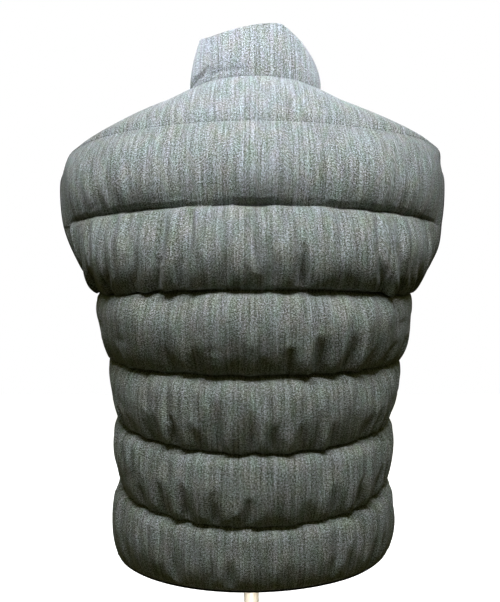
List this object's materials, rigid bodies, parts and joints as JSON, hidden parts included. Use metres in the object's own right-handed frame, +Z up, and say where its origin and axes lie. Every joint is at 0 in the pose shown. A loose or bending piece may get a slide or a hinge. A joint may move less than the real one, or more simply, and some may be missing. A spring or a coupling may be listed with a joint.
{
  "type": "quilted down vest on a dress form",
  "caption": "Sleeveless quilted down vest with stand collar and closed front zip, worn by a limbless dress form on a pole and round base.",
  "frame": {"origin": "middle of the round base's underside, on the surface that the stand rests on", "axes": "+Z up along the pole, +Y out of the wearer's back, +X to the wearer's left; the zip faces -Y"},
  "size_m": [0.4842, 0.2967, 0.8927],
  "materials": {
    "wool": "brushed herringbone wool shell over down, grey with a green cast",
    "binding": "black folded edge binding",
    "zip_tape": "black woven zip tape",
    "zip_metal": "darkened metal zip teeth, slider and pull",
    "linen": "plain cream cover stretched smooth over the form",
    "wood": "pale satin-lacquered wood"
  },
  "bodies": {
    "vest": {"back": "wool", "front_left": "wool", "front_right": "wool", "collar": "wool", "armhole_binding_left": "binding", "armhole_binding_right": "binding", "hem_binding": "binding", "zip_tape_left": "zip_tape", "zip_tape_right": "zip_tape", "zip_teeth": "zip_metal", "zip_box": "zip_metal", "zip_slider": "zip_metal", "zip_bridge": "zip_metal", "dress_form": "linen", "stand_pole": "wood", "stand_base": "wood"},
    "zip_pull": {"zip_pull": "zip_metal"}
  },
  "joints": [
    {"name": "pull_swing", "type": "hinge", "parent": "vest", "child": "zip_pull", "pos_m": [-0.004, -0.08808, 0.82798], "axis": [-1, 0, 0], "range_deg": [0, 160]}
  ]
}
